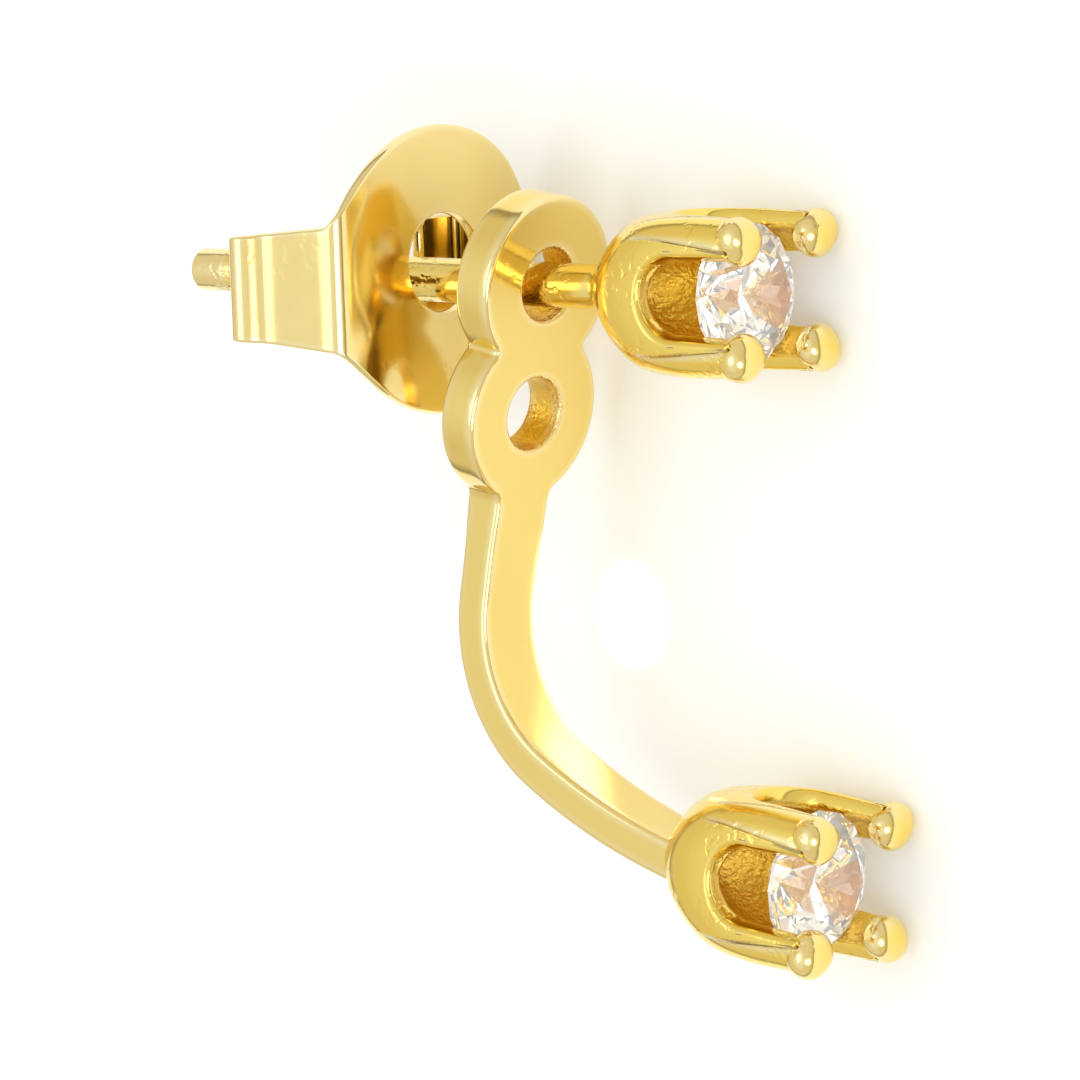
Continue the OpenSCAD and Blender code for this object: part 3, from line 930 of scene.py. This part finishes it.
# %% [markdown]
# ## The clutch
#
# A butterfly clutch is stamped from thin sheet: a round disc with a hole, and two
# strips that fold back at its sides and curl in to grip the post. Bend modifiers
# could fold a flat sheet, but it only ever bends one way, so its middle line seen
# from above tells it all. The line is drawn with corners and then smoothed, which
# rounds each fold as a press does. Above and below the hole the sheet is two
# halves, joined along the level of the hole's middle.

# %% Middle line of the sheet
SHEET_T, CLUTCH_GAP = 0.26, 2.0
FLAT_HALF, FOLD_HALF, SIDE_SLOPE = 1.3, 2.75, 0.26
BAND_LEN, BAND_FLARE, BEVEL_LEN, CURL = 1.8, 0.18, 0.42, 0.3
GRIP_PLAY = 0.03  # between the post and the strips
STEP = 0.01  # spacing of the points along the middle line
FOLD_SOFT = 0.16  # how far the smoothing reaches

disc_x = -PLATE_GAP - PLATE_T - CLUTCH_GAP - SHEET_T / 2
fold_x = disc_x - SIDE_SLOPE
band_x = fold_x - BAND_LEN
bevel_x = band_x - BEVEL_LEN
curl_x = bevel_x - CURL
wing_half = FOLD_HALF + BAND_FLARE + BEVEL_LEN
grip_half = POST_R + GRIP_PLAY + SHEET_T / 2
CORNERS = np.array([
    [disc_x, 0], [disc_x, FLAT_HALF], [disc_x - SIDE_SLOPE * 0.3, (FLAT_HALF + FOLD_HALF) / 2],
    [fold_x, FOLD_HALF], [band_x, FOLD_HALF + BAND_FLARE], [bevel_x, wing_half],
    [curl_x + CURL / 5, wing_half - CURL / 2], [curl_x, wing_half - CURL * 1.5],
    [curl_x + CURL / 2, (wing_half + grip_half) / 2],
    [bevel_x + CURL * 2, (wing_half + grip_half) / 3], [band_x + BAND_LEN / 2, grip_half]])


def middle_line():
    """Evenly spaced points of the whole middle line, and how far each is along it.

    The corners and their mirror images are joined by straight lines, and these are
    blurred with a bell curve.
    """
    whole = np.concatenate([(CORNERS * [1, -1])[:0:-1], CORNERS])
    at = run_length(whole)
    fine = np.linspace(0, at[-1], int(at[-1] / STEP) | 1)
    line = points_from(*(np.interp(fine, at, side) for side in whole.T))
    reach = int(3 * FOLD_SOFT / STEP)
    bell = np.exp(-0.5 * (np.arange(-reach, reach + 1) * STEP / FOLD_SOFT) ** 2)
    bell /= bell.sum()
    before, after = 2 * line[0] - line[reach:0:-1], 2 * line[-1] - line[-2:-reach - 2:-1]
    ends = np.concatenate([before, line, after])
    soft = points_from(*(np.convolve(side, bell, "valid") for side in ends.T))
    along = run_length(soft)
    return soft, along - along[len(along) // 2]


line_points, line_at = middle_line()
tangent = unit(np.gradient(line_points, axis=0))
line_heading = np.unwrap(np.arctan2(tangent[:, 1], tangent[:, 0]))
sheet_half = line_at[-1]


def on_sheet(place, off):
    """Points of the sheet at (place on the middle line, height), and off to the front."""
    curves = (*line_points.T, line_heading)
    x, y, heading = (np.interp(place[..., 0], line_at, curve) for curve in curves)
    return points_from(x + off * np.sin(heading), y - off * np.cos(heading), place[..., 1])


print(f"the clutch's sheet is {2 * sheet_half:.1f} mm from end to end")

# %% The sheet's two halves
DISC_R, DISC_RISE, HOLE_RISE, CLUTCH_HOLE_R = 2.95, 0.22, 0.36, 1.0
STRIP_HALF, STRIP_END_HALF = 1.275, 1.05
RIM, RIM_POWER = 0.06, 0.8
HOLE_IN = CLUTCH_HOLE_R + RIM
SHOULDER = 0.75  # softness of the step from disc to strip
HOLE_COLUMNS, STRIP_COLUMNS, RIM_ROWS = 49, 169, 9
PROBE = 0.02  # half the stretch over which the outline's slope is taken


def reach_at(along, side):
    """How far the sheet reaches above (side 1) or below (side -1) the post's level.

    The larger of the disc's circle and the strip's tapering half width, with the
    corner between them filled softly.
    """
    x = np.interp(along, line_at, line_points[:, 0])
    disc = side * DISC_RISE + np.sqrt(np.maximum(DISC_R ** 2 - along ** 2, 0))
    taper = np.clip((fold_x - x) / (fold_x - curl_x), 0, 1)
    strip = STRIP_HALF + (STRIP_END_HALF - STRIP_HALF) * taper
    return smooth_max(disc, strip, SHOULDER)


def half_sheet(side):
    """The upper or the lower half of the sheet, as sections that go once round it.

    Columns are packed round the hole by a cosine, and evenly along the strips. A
    section crosses the front, the outer rim, the back and, at the hole, its rim.
    """
    turn_in = np.linspace(0, np.pi, HOLE_COLUMNS)
    strips = np.linspace(HOLE_IN, sheet_half - RIM, STRIP_COLUMNS + 1)[1:]
    at = np.concatenate([-strips[::-1], -HOLE_IN * np.cos(turn_in), strips])
    around = np.concatenate([0 * strips, turn_in, 0 * strips + np.pi])
    in_hole = np.repeat([False, True, False], [STRIP_COLUMNS, HOLE_COLUMNS, STRIP_COLUMNS])
    low = points_from(at, HOLE_RISE + side * np.where(in_hole, HOLE_IN * np.sin(around), 0))
    low_out = points_from(np.cos(around), -side * np.sin(around))

    slope = (reach_at(at + PROBE, side) - reach_at(at - PROBE, side)) / (2 * PROBE)
    high_out = unit(points_from(-slope, 1)) * [1, side]
    high = points_from(at, side * reach_at(at, side)) - RIM * high_out

    share = np.concatenate([[0, 0.02], np.linspace(0, 1, 14)[1:-1], [0.98, 1]])[:, None, None]
    plane = low + (high - low) * share
    front, back = on_sheet(plane, SHEET_T / 2), on_sheet(plane, -SHEET_T / 2)[::-1]
    c, s = half_round(RIM_ROWS, RIM_POWER)
    off, out = SHEET_T / 2 * c[1:-1, None], RIM * s[1:-1, None, None]
    top = on_sheet(high + out * high_out, off)
    bottom = on_sheet(low + out * low_out * in_hole[:, None], -off)
    bottom = np.where(in_hole[:, None], bottom, (front[:1] + back[-1:]) / 2)
    rows = np.concatenate([front, top, back, bottom])

    count, cols = rows.shape[:2]
    keep = np.ones((count, cols - 1), bool)
    keep[-len(bottom) - 1:, ~(in_hole[:-1] & in_hole[1:])] = False
    ends = [capped(column[:-len(bottom)]) for column in (rows[:, 0], rows[:, -1])]
    return [(rows, grid_quads(count, cols, wrap_rows=True, keep=keep))] + ends


clutch_shell = [(from_worn(p), q) for side in (1, -1) for p, q in half_sheet(side)]
make_piece("clutch_gold", [clutch_shell], "clutch", sheet_gold, replaces=["clutch"])

# %% [markdown]
# ## The stones
#
# Each stone is a round brilliant, cut flat facet by flat facet in the CAD model,
# so its own mesh stays. A glossy white could fake its sparkle, but it would not
# change with the view, so it is real refraction, with about the index of cubic
# zirconia. A faint cloud of colour and a trace of roughness keep it from looking
# like a perfect lens. A faint glow stands for the light of a bigger room.

# %% Cut stone
CLEAR, WARM_TINT = (1.0, 0.99, 0.98, 1), (1.0, 0.96, 0.955, 1)
FAINT_GLOW = (1.0, 0.98, 0.94, 1)

stone_material, tree = new_material("cut clear stone")
drift, = noises(tree, (700.0, 2.0, 0.5))
glass = node(tree, "ShaderNodeBsdfPrincipled", Roughness=0.02, IOR=2.1,
             Transmission_Weight=1.0, Emission_Color=FAINT_GLOW, Emission_Strength=0.06,
             Base_Color=mix_colours(tree, drift, CLEAR, WARM_TINT))
node(tree, "ShaderNodeOutputMaterial", Surface=glass.outputs["BSDF"])

for name in ("upper_stone", "lower_stone"):
    stone = frame["nodes"][name]
    stone.data.materials.clear()
    stone.data.materials.append(stone_material)
    print(name, "has", len(stone.data.polygons), "triangles")

# %% [markdown]
# ## Table
#
# The table is a sheet of white paper. It would come out a little grey, and more
# lamps would wash out the metal. So the sheet gives off a little light of its own,
# and is nearly as white as a cut-out ground.

# %% Table
TABLE_SIZE = 0.4  # metres
PAPER_DARK, PAPER_LIGHT = (0.92, 0.945, 0.97, 1), (0.95, 0.975, 1.0, 1)

bpy.ops.mesh.primitive_plane_add(size=TABLE_SIZE, location=(0, 0, 0))
table = bpy.context.object
table.name = "table"
paper, tree = new_material("white paper")
fibre, = noises(tree, (3000.0, 4.0, 0.5))
sheet = node(tree, "ShaderNodeBsdfPrincipled", Roughness=0.9, Emission_Color=(1, 1, 1, 1),
             Emission_Strength=0.17, Base_Color=mix_colours(tree, fibre, PAPER_DARK, PAPER_LIGHT))
node(tree, "ShaderNodeOutputMaterial", Surface=sheet.outputs["BSDF"])
table.data.materials.append(paper)
print("table", TABLE_SIZE, "m wide")

# %% [markdown]
# ## Light
#
# Polished gold shows its surroundings, so the light is part of the material. A
# soft light hangs over the table, and a second one looks into the bowls of the
# settings. The metal could mirror a picture of a room, but a plain tent is enough:
# its roof is white, and its warmer, dimmer walls give the metal its deeper tones.
# The arm's inner bend mirrors the table close by. A narrow beam brightens that
# patch, and gives the bend its highlight.

# %% Lamps
def put_lamp(name, lamp, where, at=(0, 0, 0)):
    """Puts a lamp at a place in millimetres and turns it to another place."""
    holder = bpy.data.objects.new(name, lamp)
    back = unit(np.subtract(where, at))
    side = unit(np.cross([0.0, 1.0, 0.01], back))
    holder.matrix_world = placed([side, np.cross(back, side), back], where)
    bpy.context.scene.collection.objects.link(holder)
    print(f"{name}: {lamp.energy:.3f} W")
    return holder


def soft_light(name, where, size, watts):
    """A round soft light, turned to the earring."""
    lamp = bpy.data.lights.new(name, "AREA")
    lamp.shape, lamp.size, lamp.energy = "DISK", size * MM, watts
    return put_lamp(name, lamp, where)


soft_light("overhead softbox", (-20, 30, 290), 210, 0.105)
soft_light("fill for the bowls", (235, -60, 150), 150, 0.14)

BEND_PATCH, BEAM_FROM = (-0.2, -2.1, 0.0), (29.8, -2.1, 82.0)  # mm
bounce = bpy.data.lights.new("bounce for the bend", "SPOT")
bounce.energy, bounce.spot_size, bounce.spot_blend = 0.65, np.radians(1.5), 1.0
bounce.shadow_soft_size, bounce.color = 0.3 * MM, (1.0, 0.98, 0.94)
beam = put_lamp("bounce for the bend", bounce, BEAM_FROM, BEND_PATCH)
beam.visible_glossy = False

# %% White tent
WALL_DARK, WALL_LIGHT, ROOF_EXTRA = 0.34, 0.78, 0.14
WALL_RAMP, ROOF_RAMP = (0.02, 0.22), (0.5, 0.95)  # sines of the height above the horizon
WARM_CLOTH, WHITE_CLOTH = (1.0, 0.91, 0.74, 1), (0.98, 0.99, 1.0, 1)

world = bpy.data.worlds.new("room")
bpy.context.scene.world = world
world.use_nodes = True
tent = world.node_tree
direction = node(tent, "ShaderNodeTexCoord").outputs["Generated"]
height = node(tent, "ShaderNodeSeparateXYZ", Vector=direction).outputs["Z"]
level = math_node(tent, "ABSOLUTE", height)
wall = map_range(tent, level, *WALL_RAMP, WALL_DARK, WALL_LIGHT)
roof = map_range(tent, level, *ROOF_RAMP)
strength = math_node(tent, "MULTIPLY_ADD", roof, ROOF_EXTRA, wall)
cloth = mix_colours(tent, roof, WARM_CLOTH, WHITE_CLOTH)
feed(tent, tent.nodes["Background"].inputs["Strength"], strength)
feed(tent, tent.nodes["Background"].inputs["Color"], cloth)
bpy.context.scene.view_settings.view_transform = "Standard"
print("tent:", len(tent.nodes), "nodes")
